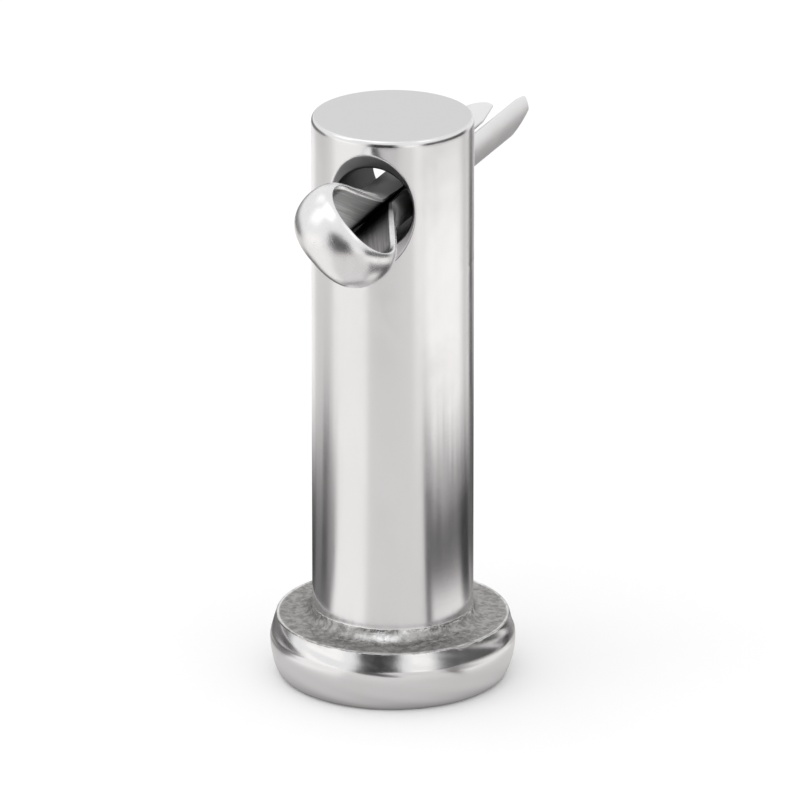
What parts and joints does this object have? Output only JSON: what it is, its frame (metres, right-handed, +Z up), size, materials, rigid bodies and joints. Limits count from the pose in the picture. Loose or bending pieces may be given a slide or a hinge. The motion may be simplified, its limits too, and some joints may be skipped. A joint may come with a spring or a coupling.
{
  "type": "clevis pin",
  "caption": "Short steel clevis pin with a low round head, standing on it, and a split pin through the cross hole near its free end.",
  "frame": {"origin": "centre of the head's flat end face, which the pin stands on", "axes": "+Z up the shank from the head to the free end; the split pin's eye is towards -Y and its legs towards +Y"},
  "size_m": [0.0122, 0.0255, 0.0291],
  "materials": {
    "turned_steel": "polished stainless steel, with a duller forged face under the head",
    "drawn_wire": "drawn stainless wire, bright on its round side and scored on its flat side"
  },
  "bodies": {
    "clevis_pin": {"clevis_pin": "turned_steel"},
    "split_pin": {"split_pin": "drawn_wire"}
  },
  "joints": [
    {"name": "split_pin_withdrawal", "type": "slide", "parent": "clevis_pin", "child": "split_pin", "axis": [-0.0407, -0.9983, 0.0407], "range_m": [0, 0.03]}
  ]
}
